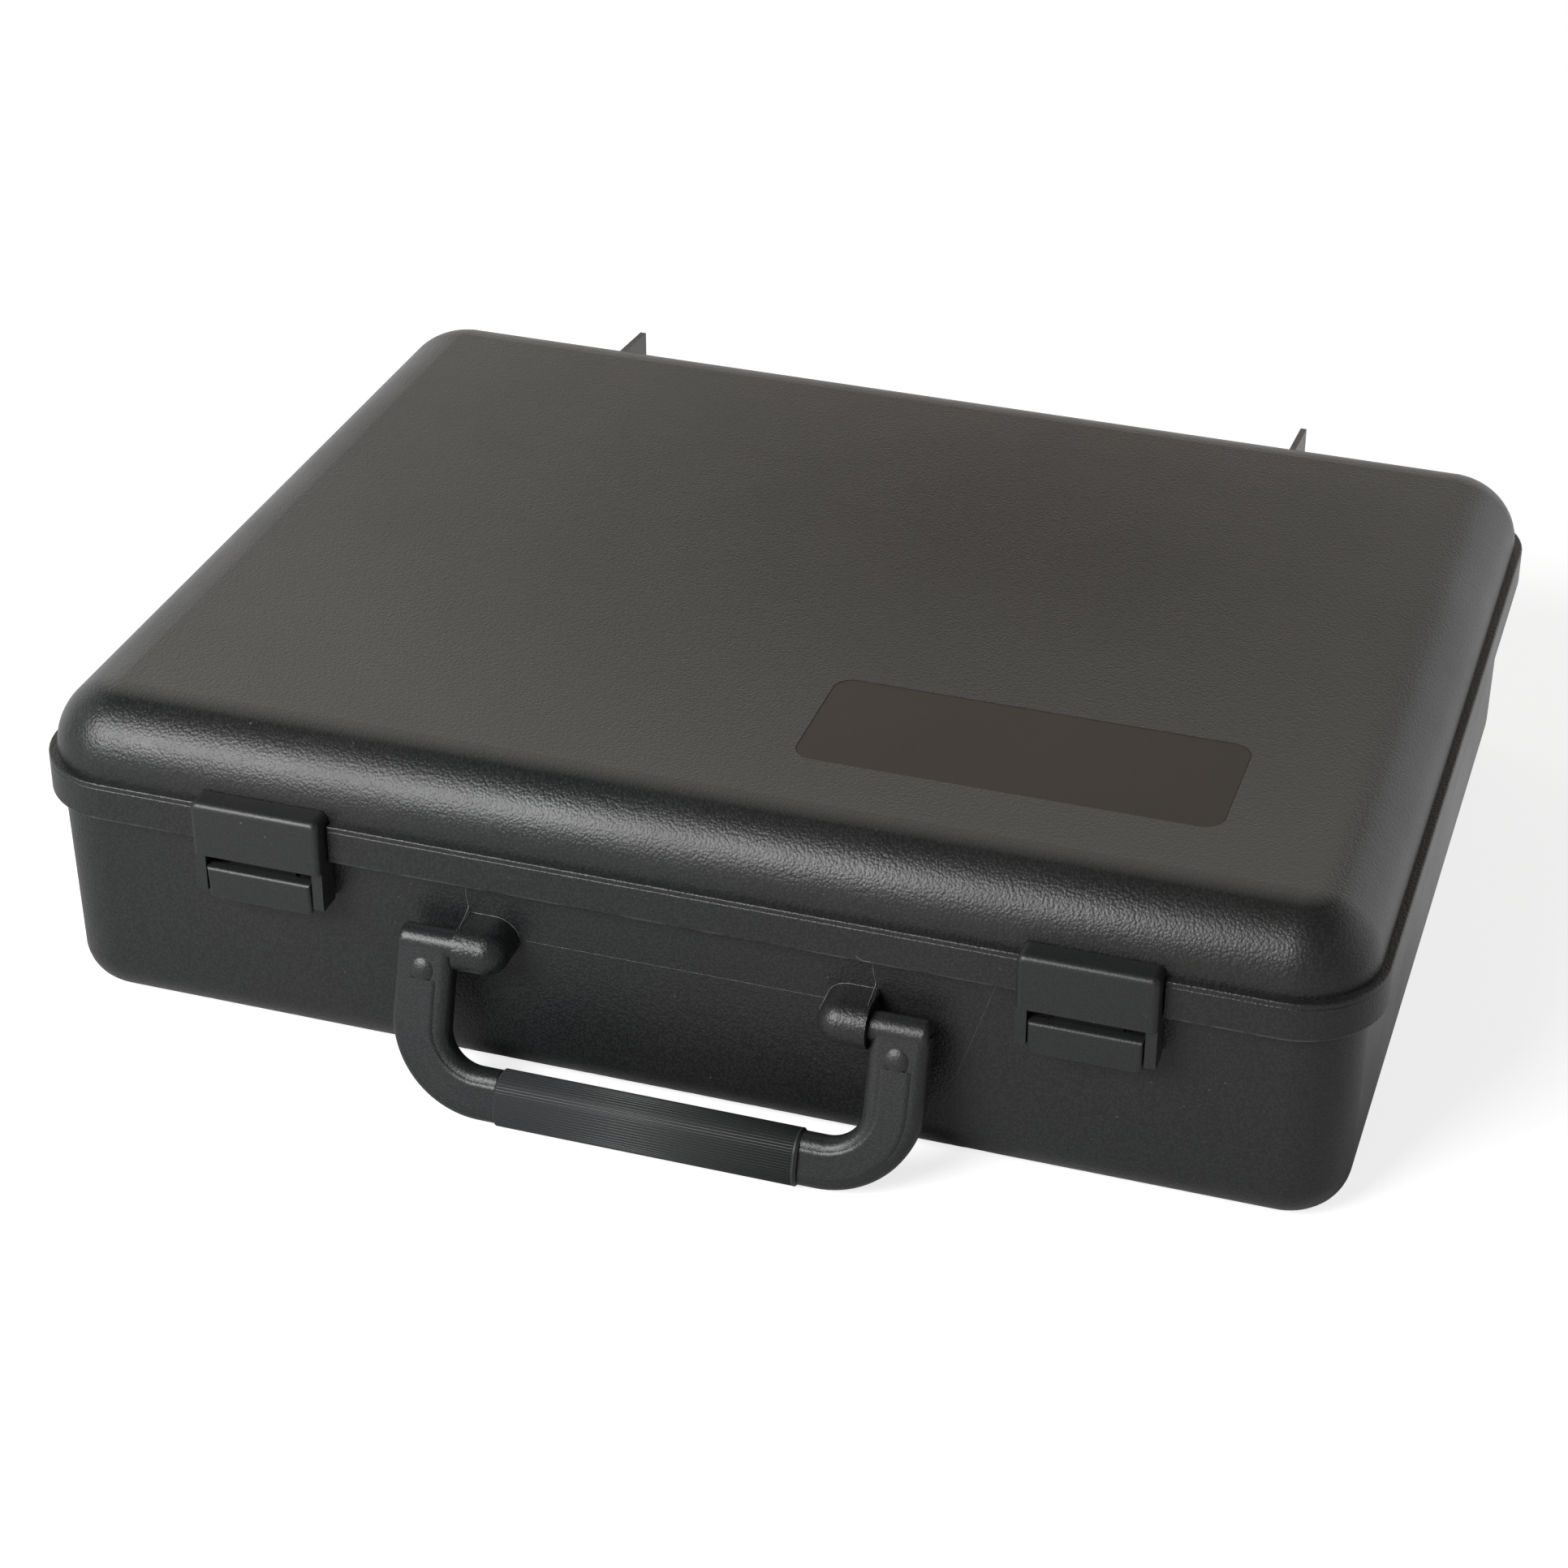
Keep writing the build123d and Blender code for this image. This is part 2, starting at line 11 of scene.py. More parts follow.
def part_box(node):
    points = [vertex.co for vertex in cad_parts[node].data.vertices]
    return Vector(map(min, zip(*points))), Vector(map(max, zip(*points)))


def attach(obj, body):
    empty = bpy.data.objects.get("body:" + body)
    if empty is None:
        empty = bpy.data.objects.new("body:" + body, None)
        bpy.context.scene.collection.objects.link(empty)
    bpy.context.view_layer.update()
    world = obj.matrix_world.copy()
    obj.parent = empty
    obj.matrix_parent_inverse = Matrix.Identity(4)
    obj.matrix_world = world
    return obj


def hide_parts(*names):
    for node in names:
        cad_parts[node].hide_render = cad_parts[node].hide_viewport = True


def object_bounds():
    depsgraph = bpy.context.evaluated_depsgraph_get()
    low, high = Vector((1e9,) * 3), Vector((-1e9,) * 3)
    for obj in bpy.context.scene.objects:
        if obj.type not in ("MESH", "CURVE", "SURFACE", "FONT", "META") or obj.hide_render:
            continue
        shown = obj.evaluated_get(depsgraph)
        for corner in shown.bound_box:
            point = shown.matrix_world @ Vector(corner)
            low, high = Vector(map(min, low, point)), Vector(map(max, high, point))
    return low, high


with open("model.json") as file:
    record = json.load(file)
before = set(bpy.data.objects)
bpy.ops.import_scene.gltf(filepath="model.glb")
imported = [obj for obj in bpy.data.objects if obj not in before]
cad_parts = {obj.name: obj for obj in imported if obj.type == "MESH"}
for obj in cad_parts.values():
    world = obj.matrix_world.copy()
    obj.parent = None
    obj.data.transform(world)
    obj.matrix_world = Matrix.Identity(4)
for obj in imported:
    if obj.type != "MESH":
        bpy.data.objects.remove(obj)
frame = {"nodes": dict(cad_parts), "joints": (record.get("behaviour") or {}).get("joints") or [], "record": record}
cad_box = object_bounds()

MM = 0.001
nodes = frame["nodes"]
pivots = {joint["name"]: Vector(joint["pos_m"]) for joint in frame["joints"] if "pos_m" in joint}

# ------------------------------------------------------------------ sizes
GRIP_HEIGHT = 16.4 * MM
GRIP_THICKNESS = 12.6 * MM
GRIP_CORNER = 6.0 * MM
GRIP_CORE_HEIGHT = 11.1 * MM
GRIP_CORE_THICKNESS = 6.5 * MM
GRIP_CORE_CORNER = 1.55 * MM
GRIP_END_CHAMFER = 0.7 * MM
GRIP_COLLAR = 1.5 * MM  # plain ring at the right end of the grip
RIB_COUNT = 56
RIB_RADIUS = 0.30 * MM
LEG_HALF_WIDTH = 8.5 * MM
BUMP_DROP = 7.6 * MM  # handle's axis to the middle of a bump
BUMP_DEPTH = 3.0 * MM  # middle plane of the leg to the middle of a bump
BUMP_WIDTH = 8.6 * MM
BUMP_HEIGHT = 9.0 * MM
BUMP_THICKNESS = 4.2 * MM
FLASH_WIDTH = 0.34 * MM  # ragged flash left along a mould split
WITNESS_WIDTH = 0.13 * MM  # fine line left by a mould insert
PAINTED_SHEEN_OFFSET = (-0.22, -0.35, 0.0)  # middle of the lid top's darker patch, where the painted sheen is least, in shares of its half sizes, negated
PAINTED_SHEEN_FADE = (1.2 * MM, 0.1 * MM)  # below the lid's top: where the painted sheen starts and where it is full
SCUFF_HIGHLIGHT_BAND = (-0.1 * MM, 0.1 * MM, 0.5 * MM, 0.9 * MM)  # scuffs and a painted highlight above the rim's lower edge: fades in, fades out

# ------------------------------------------------------------------ mould lines, mm from the handle's axis
BOSS_RADIUS = 6.7
BOSS_STRAIGHT = 51.7  # where the rounded end of a boss begins
BOSS_END = 60.0
BOSS_MARGIN = 0.15  # a boss's line runs this far outside it
LINE_STEP = 1.5  # between the points of a line
FLASH_WOBBLE = 0.25
WITNESS_WOBBLE = 0.05

# ------------------------------------------------------------------ stage
FLOOR_REACH = 6.0
FLOOR_GLOW = 0.76
WORLD_FRONT = 0.22  # brightness of the surroundings in front of the case
WORLD_REAR = 1.15  # and behind it
WORLD_OVERHEAD = 0.03  # share that is left of it overhead
WARM_PATCH = (192, 31)  # azimuth and elevation of the dim warm patch
SOFTBOX_PLACE = (-30, 33)  # azimuth and elevation
SOFTBOX_DISTANCE = 1.7
SOFTBOX_SIZE = (1.0, 0.80)
SOFTBOX_STRENGTH = 13.5
CAMERA_LENS = 80.885  # mm, on a 36 mm sensor
CAMERA_SENSOR = 36.0
CAMERA_SHIFT = (-0.0984, -0.1121)
CAMERA_AIM = (0.01372, 0.07483, 0.05)
CAMERA_PLACE = (15.480, 29.212)  # azimuth and elevation
CAMERA_DISTANCE = 1.1502
CAMERA_ROLL = 1.474

# ------------------------------------------------------------------ colours, linear
CASE_BLACK = (0.0100, 0.0108, 0.0112)
CASE_WARM = (0.0150, 0.0138, 0.0125)
CASE_PAINTED_SHEEN = (0.0560, 0.0560, 0.0530)  # painted sheen: the lid's top lighter towards its edges, standing in for reflected light
SATIN_BLACK = (0.0130, 0.0140, 0.0146)
SATIN_WARM = (0.0170, 0.0168, 0.0160)
GRIP_BLACK = (0.0240, 0.0255, 0.0270)
GRIP_WARM = (0.0300, 0.0300, 0.0290)
LABEL_BROWN = (0.0300, 0.0225, 0.0175)
LABEL_DARK = (0.0240, 0.0190, 0.0155)
GRAIN_TIP = (0.0300, 0.0320, 0.0330)  # worn tips of the moulded grain
# scuffs and a painted highlight along the rim's lower edge
SCUFF_HIGHLIGHT_GREY = (0.060, 0.062, 0.062)
DUST = (0.20, 0.19, 0.17)
FLASH_GREY = (0.11, 0.112, 0.11)
FLASH_WARM = (0.15, 0.145, 0.14)
STEEL = (0.56, 0.57, 0.58)
STEEL_DARK = (0.30, 0.30, 0.31)
FLOOR_PALE = (0.55, 0.55, 0.55)
FLOOR_WHITE = (1.0, 1.0, 1.0)
FLOOR_DARK = (0.0, 0.0, 0.0)
SKY_WHITE = (1.0, 1.0, 1.0)
SKY_WARM = (0.42, 0.34, 0.25)


# ================================================================== node helpers
def rgba(colour):
    """Give a linear colour the fourth number that a socket wants."""
    return (*colour, 1.0)


def add_node(tree, kind, inputs=None, **settings):
    """Add a node, set its properties, then set or link its inputs."""
    node = tree.nodes.new(kind)
    for key, value in settings.items():
        setattr(node, key, value)
    for key, value in (inputs or {}).items():
        if isinstance(value, bpy.types.NodeSocket):
            tree.links.new(value, node.inputs[key])
        else:
            node.inputs[key].default_value = value
    return node


def new_material(name):
    """Make an empty node material and return it with its Principled shader."""
    material = bpy.data.materials.new(name)
    material.use_nodes = True
    tree = material.node_tree
    tree.nodes.clear()
    shader = add_node(tree, "ShaderNodeBsdfPrincipled")
    add_node(tree, "ShaderNodeOutputMaterial", {"Surface": shader.outputs["BSDF"]})
    return material, tree, shader


def noise(tree, place, scale, detail=2.0, roughness=0.5):
    """Fractal noise on the object's own coordinates, as a number round 0.5."""
    found = add_node(
        tree,
        "ShaderNodeTexNoise",
        {"Vector": place, "Scale": scale, "Detail": detail, "Roughness": roughness},
    )
    return found.outputs["Fac"]


def remap(tree, value, low, high, to_low=0.0, to_high=1.0):
    """Stretch a number from one range to another, clamped at both ends."""
    found = add_node(
        tree,
        "ShaderNodeMapRange",
        {"Value": value, "From Min": low, "From Max": high, "To Min": to_low, "To Max": to_high},
    )
    return found.outputs["Result"]


def maths(tree, operation, first, second):
    """Combine two numbers."""
    found = add_node(tree, "ShaderNodeMath", {0: first, 1: second}, operation=operation)
    return found.outputs["Value"]


def blend_colours(tree, share, first, second):
    """Mix two colours by a share from 0 to 1."""
    first = first if isinstance(first, bpy.types.NodeSocket) else rgba(first)
    found = add_node(
        tree,
        "ShaderNodeMix",
        {"Factor": share, 6: first, 7: rgba(second)},
        data_type="RGBA",
    )
    return found.outputs[2]


# ================================================================== finishes
def dust_mask(tree, place, amount):
    """Sparse pale specks, thicker in some patches than in others."""
    cells = add_node(tree, "ShaderNodeTexVoronoi", {"Vector": place, "Scale": 260.0, "Randomness": 1.0})
    speck = remap(tree, cells.outputs["Distance"], 0.05, 0.11, 1.0, 0.0)
    chosen = remap(tree, noise(tree, place, 610.0, 0.0), 0.60, 0.66)
    patch = remap(tree, noise(tree, place, 11.0, 3.0), 0.48, 0.68, 0.25, 1.0)
    specks = maths(tree, "MULTIPLY", speck, chosen)
    return maths(tree, "MULTIPLY", specks, maths(tree, "MULTIPLY", patch, amount))


def painted_sheen_share(tree, place):
    """Share of painted sheen, reflected light painted into the colour: from 0 in the middle of the lid's top to 1
    along its edges, and 0 everywhere lower down.
    """
    low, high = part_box("lid_shell")
    to_half_sizes = (2 / (high.x - low.x), 2 / (high.y - low.y), 0.0)
    spread = add_node(
        tree,
        "ShaderNodeMapping",
        {"Vector": place, "Location": PAINTED_SHEEN_OFFSET, "Scale": to_half_sizes},
    )
    distance = add_node(
        tree, "ShaderNodeVectorMath", {0: spread.outputs["Vector"]}, operation="LENGTH"
    ).outputs["Value"]
    height = add_node(tree, "ShaderNodeSeparateXYZ", {"Vector": place}).outputs["Z"]
    starts, full = PAINTED_SHEEN_FADE
    on_top = remap(tree, height, high.z - starts, high.z - full)
    return maths(tree, "MULTIPLY", remap(tree, distance, 0.15, 1.25), on_top)


def scuff_highlight_share(tree, place):
    """Broken pale marks along the lower edge of the rim: scuffs, and a painted highlight on that edge."""
    height = add_node(tree, "ShaderNodeSeparateXYZ", {"Vector": place}).outputs["Z"]
    edge = pivots["lever_left_pull"].z  # the latches turn level with the rim's lower edge
    fade_in, full, fade_out, gone = SCUFF_HIGHLIGHT_BAND
    above = remap(tree, height, edge + fade_in, edge + full)
    below = remap(tree, height, edge + fade_out, edge + gone, 1.0, 0.0)
    broken = remap(tree, noise(tree, place, 55.0, 5.0, 0.7), 0.44, 0.58)
    return maths(tree, "MULTIPLY", maths(tree, "MULTIPLY", above, below), broken)


def moulded_plastic(
    name,
    colour,
    warm,
    roughness,
    grain_size,
    grain_height,
    warm_reach=(0.42, 0.75),
    dust=0.35,
    painted_sheen=None,
    scuff_highlight=False,
):
    """Injection-moulded plastic: an etched pebble grain, slow changes of tone and polish, a little dust."""
    material, tree, shader = new_material(name)
    place = add_node(tree, "ShaderNodeTexCoord").outputs["Object"]

    pebbles = add_node(
        tree,
        "ShaderNodeTexVoronoi",
        {"Vector": place, "Scale": 1.0 / grain_size, "Smoothness": 0.6, "Randomness": 1.0},
        feature="SMOOTH_F1",
    )
    fine = noise(tree, place, 1.9 / grain_size, 3.0, 0.6)
    relief = maths(
        tree,
        "ADD",
        remap(tree, pebbles.outputs["Distance"], 0.1, 0.8, 0.55, 0.0),
        maths(tree, "MULTIPLY", fine, 0.6),
    )
    grain = add_node(tree, "ShaderNodeBump", {"Height": relief, "Strength": 1.0, "Distance": grain_height})

    tone = remap(tree, noise(tree, place, 6.0, 3.0, 0.55), *warm_reach)
    body = blend_colours(tree, tone, colour, warm)
    body = blend_colours(tree, remap(tree, relief, 0.45, 0.85, 0.0, 0.6), body, GRAIN_TIP)
    # painted sheen: lighter colour towards the lid top's edges stands in for reflected light
    if painted_sheen:
        body = blend_colours(tree, painted_sheen_share(tree, place), body, painted_sheen)
    # scuffs and a painted highlight along the rim's lower edge
    if scuff_highlight:
        body = blend_colours(tree, scuff_highlight_share(tree, place), body, SCUFF_HIGHLIGHT_GREY)
    specks = dust_mask(tree, place, dust)
    tree.links.new(blend_colours(tree, specks, body, DUST), shader.inputs["Base Color"])

    polish = remap(tree, noise(tree, place, 24.0, 4.0, 0.6), 0.3, 0.7, roughness - 0.03, roughness + 0.04)
    dulled = maths(tree, "ADD", polish, maths(tree, "MULTIPLY", specks, 0.4))
    tree.links.new(dulled, shader.inputs["Roughness"])
    tree.links.new(grain.outputs["Normal"], shader.inputs["Normal"])
    shader.inputs["IOR"].default_value = 1.5
    return material


def drawn_steel(name):
    """Bright drawn wire, with fine lines along X."""
    material, tree, shader = new_material(name)
    place = add_node(tree, "ShaderNodeTexCoord").outputs["Object"]
    stretched = add_node(tree, "ShaderNodeMapping", {"Vector": place, "Scale": (60.0, 3000.0, 3000.0)})
    lines = noise(tree, stretched.outputs["Vector"], 1.0, 2.0)
    tone = remap(tree, lines, 0.35, 0.65)
    tree.links.new(blend_colours(tree, tone, STEEL_DARK, STEEL), shader.inputs["Base Color"])
    tree.links.new(remap(tree, lines, 0.3, 0.7, 0.24, 0.4), shader.inputs["Roughness"])
    shader.inputs["Metallic"].default_value = 1.0
    return material


def pale_floor(name):
    """Plain pale sweep that looks white itself but throws little light back on the front of the case."""
    material, tree, shader = new_material(name)
    place = add_node(tree, "ShaderNodeTexCoord").outputs["Object"]
    depth = add_node(tree, "ShaderNodeSeparateXYZ", {"Vector": place}).outputs["Y"]
    rearward = remap(tree, depth, -0.12, 0.05, 0.0, 0.8)
    camera_ray = add_node(tree, "ShaderNodeLightPath").outputs["Is Camera Ray"]
    seen = maths(tree, "MAXIMUM", camera_ray, rearward)
    shader.inputs["Base Color"].default_value = rgba(FLOOR_PALE)
    shader.inputs["Roughness"].default_value = 0.9
    shader.inputs["Specular IOR Level"].default_value = 0.1
    tree.links.new(blend_colours(tree, seen, FLOOR_DARK, FLOOR_WHITE), shader.inputs["Emission Color"])
    shader.inputs["Emission Strength"].default_value = FLOOR_GLOW
    return material


case_plastic = moulded_plastic(
    "case_plastic",
    CASE_BLACK,
    CASE_WARM,
    0.36,
    0.80 * MM,
    0.13 * MM,
    dust=0.5,
    painted_sheen=CASE_PAINTED_SHEEN,
    scuff_highlight=True,
)
handle_plastic = moulded_plastic(
    "handle_plastic", SATIN_BLACK, SATIN_WARM, 0.38, 0.7 * MM, 0.07 * MM, dust=0.3
)
grip_plastic = moulded_plastic("grip_plastic", GRIP_BLACK, GRIP_WARM, 0.50, 0.6 * MM, 0.015 * MM, dust=0.15)
latch_plastic = moulded_plastic(
    "latch_plastic", SATIN_BLACK, SATIN_WARM, 0.40, 0.55 * MM, 0.035 * MM, dust=0.4
)
label_plastic = moulded_plastic(
    "label_plastic", LABEL_BROWN, LABEL_DARK, 0.44, 0.5 * MM, 0.006 * MM, dust=0.1
)
tray_plastic = moulded_plastic("tray_plastic", SATIN_BLACK, CASE_WARM, 0.42, 0.9 * MM, 0.04 * MM, dust=0.15)
flash_plastic = moulded_plastic("flash_plastic", FLASH_GREY, FLASH_WARM, 0.32, 0.4 * MM, 0.03 * MM, dust=0.0)
pin_steel = drawn_steel("pin_steel")

FINISHES = {
    "case_plastic": case_plastic,
    "handle_plastic": handle_plastic,
    "grip_plastic": grip_plastic,
    "latch_plastic": latch_plastic,
    "label_plastic": label_plastic,
    "tray_plastic": tray_plastic,
    "pin_steel": pin_steel,
}


def finish_cad_nodes():
    """Give every CAD node the finish of its material slot."""
    for part in frame["record"]["subparts"]:
        node = nodes[part["node"]]
        if not node.material_slots:
            node.data.materials.append(None)
        for slot in node.material_slots:
            slot.material = FINISHES[part["material_slot"]]


# ================================================================== mesh helpers
def new_piece(name, mesh, material):
    """Link a finished mesh as its own object with one material."""
    mesh.materials.clear()
    mesh.materials.append(material)
    piece = bpy.data.objects.new(name, mesh)
    bpy.context.scene.collection.objects.link(piece)
    return piece


def smooth(piece, angle=35):
    """Shade smooth but for edges sharper than angle degrees."""
    piece.data.shade_smooth()
    piece.data.set_sharp_from_angle(angle=radians(angle))


def rounded_outline(height, thickness, corner, per_corner=14):
    """Points round a rectangle with round corners, the same count for any size."""
    points = []
    for quarter, (sign_u, sign_v) in enumerate(((1, 1), (-1, 1), (-1, -1), (1, -1))):
        for step in range(per_corner + 1):
            angle = tau / 4 * (quarter + step / per_corner)
            u = sign_u * (height / 2 - corner) + corner * cos(angle)
            v = sign_v * (thickness / 2 - corner) + corner * sin(angle)
            points.append((u, v))
    return points


def loft(rings):
    """Skin a closed loop of rings that all have the same number of points."""
    mesh = bmesh.new()
    rows = [[mesh.verts.new(point) for point in ring] for ring in rings]
    for row, after in zip(rows, rows[1:] + rows[:1]):
        for index in range(len(row)):
            following = (index + 1) % len(row)
            mesh.faces.new((row[index], row[following], after[following], after[index]))
    bmesh.ops.recalc_face_normals(mesh, faces=mesh.faces)
    data = bpy.data.meshes.new("loft")
    mesh.to_mesh(data)
    mesh.free()
    return data


# ================================================================== grip
grip_low, grip_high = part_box("handle_grip")
grip_length = grip_high.x - grip_low.x
grip_middle = (grip_low + grip_high) / 2
grip_up = (pivots["handle_swing"] - grip_middle).normalized()
grip_out = Vector((1, 0, 0)).cross(grip_up)
# columns: up the leg, out through the bar, along the bar
grip_place = Matrix.Translation(grip_middle) @ Matrix(
    (
        (grip_up.x, grip_out.x, 1.0, 0.0),
        (grip_up.y, grip_out.y, 0.0, 0.0),
        (grip_up.z, grip_out.z, 0.0, 0.0),
        (0.0, 0.0, 0.0, 1.0),
    )
)


def grip_ring(inset, along):
    """One ring of the sleeve's outside, drawn in by inset."""
    outline = rounded_outline(GRIP_HEIGHT - 2 * inset, GRIP_THICKNESS - 2 * inset, GRIP_CORNER - inset)
    return [(u, v, along) for u, v in outline]


def make_grip_sleeve():
    """Sleeve with chamfered ends, a plain collar at its right end and a hole for the bar."""
    end = grip_length / 2
    root = RIB_RADIUS  # the sleeve's skin lies under the crests of the ribs
    stations = (
        (root + GRIP_END_CHAMFER, -end),
        (root, -end + GRIP_END_CHAMFER),
        (root, end - GRIP_COLLAR),
        (0.0, end - GRIP_COLLAR + root),
        (0.0, end - GRIP_END_CHAMFER),
        (GRIP_END_CHAMFER, end),
    )
    hole = rounded_outline(GRIP_CORE_HEIGHT, GRIP_CORE_THICKNESS, GRIP_CORE_CORNER)
    rings = [grip_ring(inset, along) for inset, along in stations]
    rings += [[(u, v, side * end) for u, v in hole] for side in (1, -1)]
    mesh = loft(rings)
    mesh.transform(grip_place)
    piece = new_piece("grip_sleeve", mesh, grip_plastic)
    smooth(piece)
    return piece


def rib_tree():
    """Geometry Nodes: straight round ribs side by side along a rounded rectangle."""
    tree = bpy.data.node_groups.new("lengthwise_ribs", "GeometryNodeTree")
    face = tree.interface
    face.new_socket("Geometry", in_out="INPUT", socket_type="NodeSocketGeometry")
    face.new_socket("Height", in_out="INPUT", socket_type="NodeSocketFloat")
    face.new_socket("Thickness", in_out="INPUT", socket_type="NodeSocketFloat")
    face.new_socket("Corner", in_out="INPUT", socket_type="NodeSocketFloat")
    face.new_socket("Rib count", in_out="INPUT", socket_type="NodeSocketInt")
    face.new_socket("Rib radius", in_out="INPUT", socket_type="NodeSocketFloat")
    face.new_socket("Rib length", in_out="INPUT", socket_type="NodeSocketFloat")
    face.new_socket("Material", in_out="INPUT", socket_type="NodeSocketMaterial")
    face.new_socket("Geometry", in_out="OUTPUT", socket_type="NodeSocketGeometry")
    given = add_node(tree, "NodeGroupInput").outputs
    outline = add_node(
        tree,
        "GeometryNodeCurvePrimitiveQuadrilateral",
        {"Width": given["Height"], "Height": given["Thickness"]},
    )
    corners = add_node(
        tree,
        "GeometryNodeFilletCurve",
        {"Curve": outline.outputs[0], "Count": 12, "Radius": given["Corner"]},
        mode="POLY",
    )
    spaced = add_node(
        tree, "GeometryNodeResampleCurve", {"Curve": corners.outputs[0], "Count": given["Rib count"]}
    )
    rib = add_node(
        tree,
        "GeometryNodeMeshCylinder",
        {"Vertices": 8, "Radius": given["Rib radius"], "Depth": given["Rib length"]},
    )
    rounded = add_node(tree, "GeometryNodeSetShadeSmooth", {"Geometry": rib.outputs["Mesh"]})
    placed = add_node(
        tree,
        "GeometryNodeInstanceOnPoints",
        {"Points": spaced.outputs[0], "Instance": rounded.outputs[0]},
    )
    real = add_node(tree, "GeometryNodeRealizeInstances", {"Geometry": placed.outputs[0]})
    painted = add_node(
        tree,
        "GeometryNodeSetMaterial",
        {"Geometry": real.outputs[0], "Material": given["Material"]},
    )
    add_node(tree, "NodeGroupOutput", {"Geometry": painted.outputs[0]})
    return tree


def set_input(modifier, name, value):
    """Set a Geometry Nodes input by its socket's identifier."""
    for item in modifier.node_group.interface.items_tree:
        if item.in_out == "INPUT" and item.name == name:
            modifier[item.identifier] = value


def make_grip_ribs():
    """Fine round ribs that run the length of the grip."""
    seed = bpy.data.objects.new("rib_seed", bpy.data.meshes.new("rib_seed"))
    bpy.context.scene.collection.objects.link(seed)
    modifier = seed.modifiers.new("ribs", "NODES")
    modifier.node_group = rib_tree()
    rib_length = grip_length - GRIP_COLLAR - GRIP_END_CHAMFER
    for name, value in (
        ("Height", GRIP_HEIGHT - 2 * RIB_RADIUS),
        ("Thickness", GRIP_THICKNESS - 2 * RIB_RADIUS),
        ("Corner", GRIP_CORNER - RIB_RADIUS),
        ("Rib count", RIB_COUNT),
        ("Rib radius", RIB_RADIUS),
        ("Rib length", rib_length),
        ("Material", grip_plastic),
    ):
        set_input(modifier, name, value)
    bpy.context.view_layer.update()
    evaluated = seed.evaluated_get(bpy.context.evaluated_depsgraph_get())
    mesh = bpy.data.meshes.new_from_object(evaluated)
    seed.modifiers.remove(modifier)
    bpy.data.objects.remove(seed)
    mesh.transform(grip_place @ Matrix.Translation((0, 0, (GRIP_END_CHAMFER - GRIP_COLLAR) / 2)))
    return new_piece("grip_ribs", mesh, grip_plastic)


# ================================================================== legs of the handle
def make_leg_bumps():
    """A low oval bump at the upper end of the raised core of each leg."""
    left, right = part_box("handle_frame")
    turned = grip_place.to_3x3().to_4x4()
    size = Matrix.Diagonal((BUMP_HEIGHT / 2, BUMP_THICKNESS / 2, BUMP_WIDTH / 2, 1.0))
    mesh = bmesh.new()
    for leg_x in (left.x + LEG_HALF_WIDTH, right.x - LEG_HALF_WIDTH):
        middle = pivots["handle_swing"] - BUMP_DROP * grip_up + BUMP_DEPTH * grip_out
        middle.x = leg_x
        place = Matrix.Translation(middle) @ turned @ size
        bmesh.ops.create_uvsphere(mesh, u_segments=40, v_segments=24, radius=1.0, matrix=place)
    data = bpy.data.meshes.new("leg_bumps")
    mesh.to_mesh(data)
    mesh.free()
    piece = new_piece("leg_bumps", data, handle_plastic)
    smooth(piece)
    return piece


# ================================================================== mould lines
def on_front(x, z):
    """The point of the base's front that lies straight behind (x, z)."""
    start = Vector((x, cad_box[0][1] - 50 * MM, z))
    found, point, _, _ = nodes["base_shell"].ray_cast(start, Vector((0, 1, 0)))
    return point if found else start


def ragged_points(run, wobble):
    """Points close together along a run of straight stretches, pushed to and fro by up to wobble."""
    points = []
    for (x, z), (next_x, next_z) in zip(run, run[1:]):
        steps = max(2, round(Vector((next_x - x, next_z - z)).length / LINE_STEP))
        for step in range(steps):
            share = step / steps
            ragged = wobble * sin(97.0 * (x + z + share)) * sin(41.0 * share)
            points.append((x + (next_x - x) * share + ragged, z + (next_z - z) * share))
    points.append(run[-1])
    return points


def make_line(name, runs, width, wobble):
    """Thin raised lines on the front wall, each through its own (x, z) offsets from the handle's axis."""
    middle = pivots["handle_swing"]
    curve = bpy.data.curves.new(name, "CURVE")
    curve.dimensions = "3D"
    curve.bevel_depth = width / 2
    curve.bevel_resolution = 1
    curve.use_fill_caps = True
    for run in runs:
        points = ragged_points(run, wobble)
        spline = curve.splines.new("POLY")
        spline.points.add(len(points) - 1)
        for index, (x, z) in enumerate(points):
            place = on_front(middle.x + x * MM, middle.z + z * MM)
            spline.points[index].co = (*place, 1.0)
            spline.points[index].radius = 0.75 + 0.25 * sin(1.9 * index)
    source = bpy.data.objects.new(name + "_curve", curve)
    bpy.context.scene.collection.objects.link(source)
    bpy.context.view_layer.update()
    mesh = bpy.data.meshes.new_from_object(source.evaluated_get(bpy.context.evaluated_depsgraph_get()))
    bpy.data.objects.remove(source)
    return mesh


def boss_outline(side):
    """The line where the top of a boss meets the wall, from its rounded end to its flat one."""
    radius = BOSS_RADIUS + BOSS_MARGIN
    bend = [
        (side * (BOSS_STRAIGHT - radius * sin(radians(angle))), radius * cos(radians(angle)))
        for angle in (80, 65, 50, 35, 20, 5)
    ]
    return (*bend, (side * (BOSS_END - 0.6), radius), (side * (BOSS_END + BOSS_MARGIN), radius - 0.8))


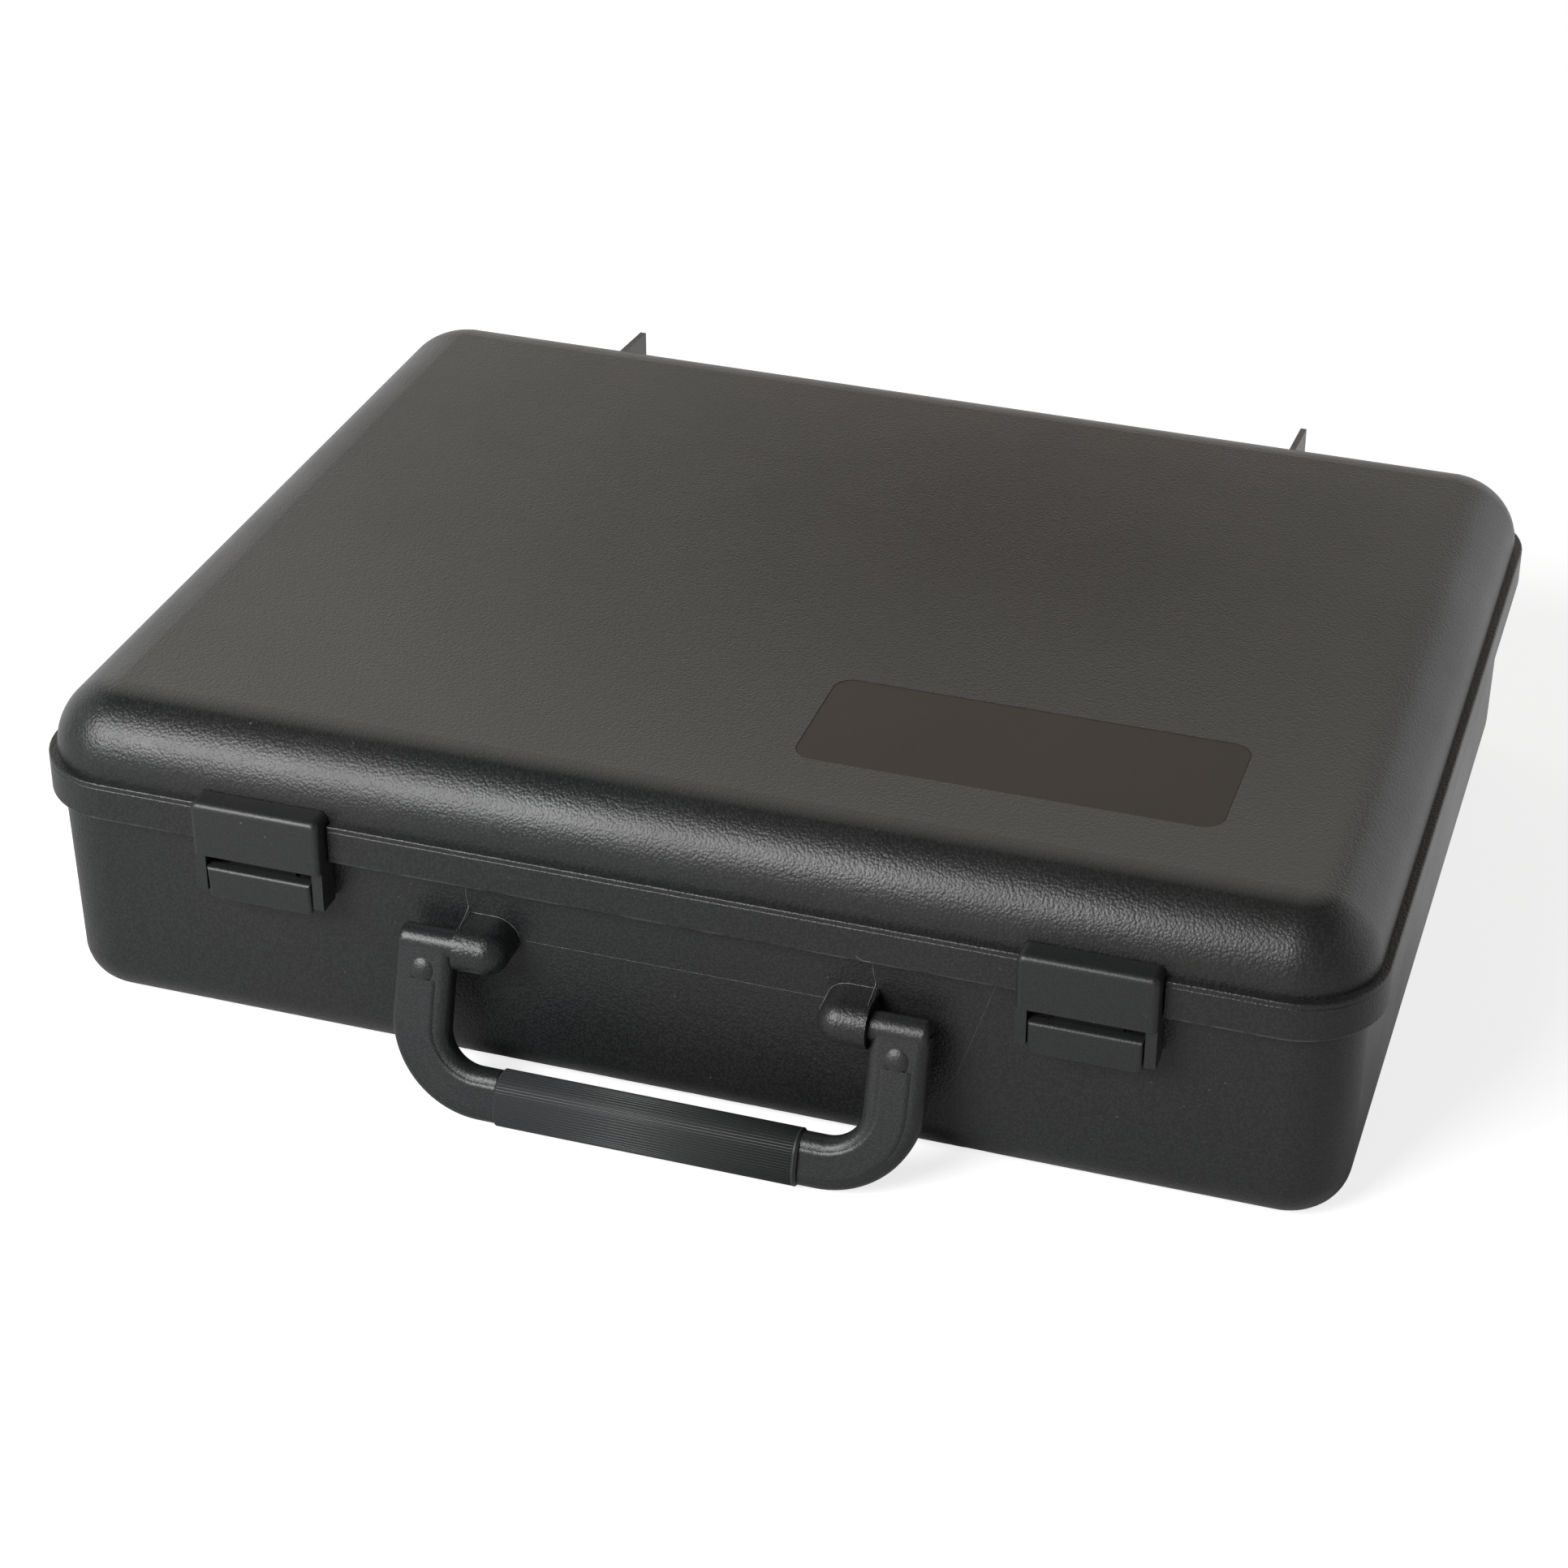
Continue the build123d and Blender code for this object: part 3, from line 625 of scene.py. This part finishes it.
# each run is a list of (x, z) seen from the front
FLASH_RUNS = (
    ((-59.2, 6.6), (-59.9, 9.8), (-60.3, 14.3), (-59.2, 17.4)),
    ((59.2, 6.6), (58.4, 11.0), (58.1, 15.3)),
    ((54.5, 19.6), (56.5, 18.4), (58.6, 18.6), (59.2, 17.9)),
    boss_outline(-1),
    boss_outline(1),
)
WITNESS_RUNS = (
    ((-43.0, 0.5), (45.0, 0.5)),
    ((92.4, 14.9), (81.5, -19.6), (76.5, -18.8)),
)


def make_mould_lines():
    """Flash above the bosses and witness lines of the mould insert behind the handle."""
    flash = make_line("mould_flash", FLASH_RUNS, FLASH_WIDTH, FLASH_WOBBLE)
    witness = make_line("witness_lines", WITNESS_RUNS, WITNESS_WIDTH, WITNESS_WOBBLE)
    return new_piece("mould_flash", flash, flash_plastic), new_piece("witness_lines", witness, flash_plastic)


# ================================================================== stage
def make_floor():
    """A wide plain floor under the case."""
    ground = cad_box[0][2]
    sides = ((-1, -1), (1, -1), (1, 1), (-1, 1))
    corners = [(x * FLOOR_REACH, y * FLOOR_REACH, ground) for x, y in sides]
    mesh = bpy.data.meshes.new("floor")
    mesh.from_pydata(corners, [], [(0, 1, 2, 3)])
    floor = new_piece("floor", mesh, pale_floor("pale_floor"))


def toward(azimuth, elevation):
    """Unit vector from the case to a place at that azimuth from the front and elevation."""
    a, e = radians(azimuth), radians(elevation)
    return Vector((sin(a) * cos(e), -cos(a) * cos(e), sin(e)))


def make_softbox():
    """A soft rectangular lamp in front of the case, facing it."""
    width, height = SOFTBOX_SIZE
    lamp = bpy.data.lights.new("front_softbox", "AREA")
    lamp.shape = "RECTANGLE"
    lamp.size = width
    lamp.size_y = height
    lamp.energy = SOFTBOX_STRENGTH * width * height * tau / 2
    holder = bpy.data.objects.new("front_softbox", lamp)
    bpy.context.scene.collection.objects.link(holder)
    back = toward(*SOFTBOX_PLACE)
    holder.location = Vector((0, 0, 50 * MM)) + back * SOFTBOX_DISTANCE
    holder.rotation_euler = back.to_track_quat("Z", "Y").to_euler()


def make_world():
    """Bright behind the case at eye level, dimmer in front and overhead, a dim warm patch at the rear."""
    world = bpy.data.worlds.new("studio")
    world.use_nodes = True
    tree = world.node_tree
    tree.nodes.clear()
    direction = add_node(tree, "ShaderNodeTexCoord").outputs["Generated"]
    parts = add_node(tree, "ShaderNodeSeparateXYZ", {"Vector": direction}).outputs
    upward = remap(tree, parts["Z"], 0.48, 0.76, 1.0, WORLD_OVERHEAD)
    rearward = remap(tree, parts["Y"], -0.3, 0.5, WORLD_FRONT, WORLD_REAR)
    level = maths(tree, "MULTIPLY", upward, rearward)
    behind = add_node(
        tree,
        "ShaderNodeVectorMath",
        {0: direction, 1: toward(*WARM_PATCH)},
        operation="DOT_PRODUCT",
    ).outputs["Value"]
    warm = remap(tree, behind, 0.86, 0.99, 0.0, 0.9)
    tint = blend_colours(tree, warm, SKY_WHITE, SKY_WARM)
    background = add_node(tree, "ShaderNodeBackground", {"Color": tint, "Strength": level})
    add_node(tree, "ShaderNodeOutputWorld", {"Surface": background.outputs["Background"]})
    bpy.context.scene.world = world


def make_camera():
    """The camera, at its viewing angle and with the perspective of a fairly long lens."""
    camera = bpy.data.cameras.new("camera")
    camera.lens = CAMERA_LENS
    camera.sensor_width = CAMERA_SENSOR
    camera.shift_x, camera.shift_y = CAMERA_SHIFT
    camera.clip_end = 50.0
    holder = bpy.data.objects.new("camera", camera)
    bpy.context.scene.collection.objects.link(holder)
    back = toward(*CAMERA_PLACE)
    holder.location = Vector(CAMERA_AIM) + back * CAMERA_DISTANCE
    level = back.to_track_quat("Z", "Y").to_matrix()
    holder.rotation_euler = (level @ Matrix.Rotation(radians(CAMERA_ROLL), 3, "Z")).to_euler()
    bpy.context.scene.camera = holder


def make_studio():
    """Floor, surroundings, lamp and camera."""
    make_floor()
    make_world()
    make_softbox()
    make_camera()
    bpy.context.scene.view_settings.view_transform = "Standard"


# ================================================================== assembly
finish_cad_nodes()

grip_sleeve = make_grip_sleeve()
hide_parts("handle_grip")
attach(grip_sleeve, "handle")

grip_ribs = make_grip_ribs()
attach(grip_ribs, "handle")

leg_bumps = make_leg_bumps()
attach(leg_bumps, "handle")

for mould_line in make_mould_lines():
    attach(mould_line, "base")

make_studio()
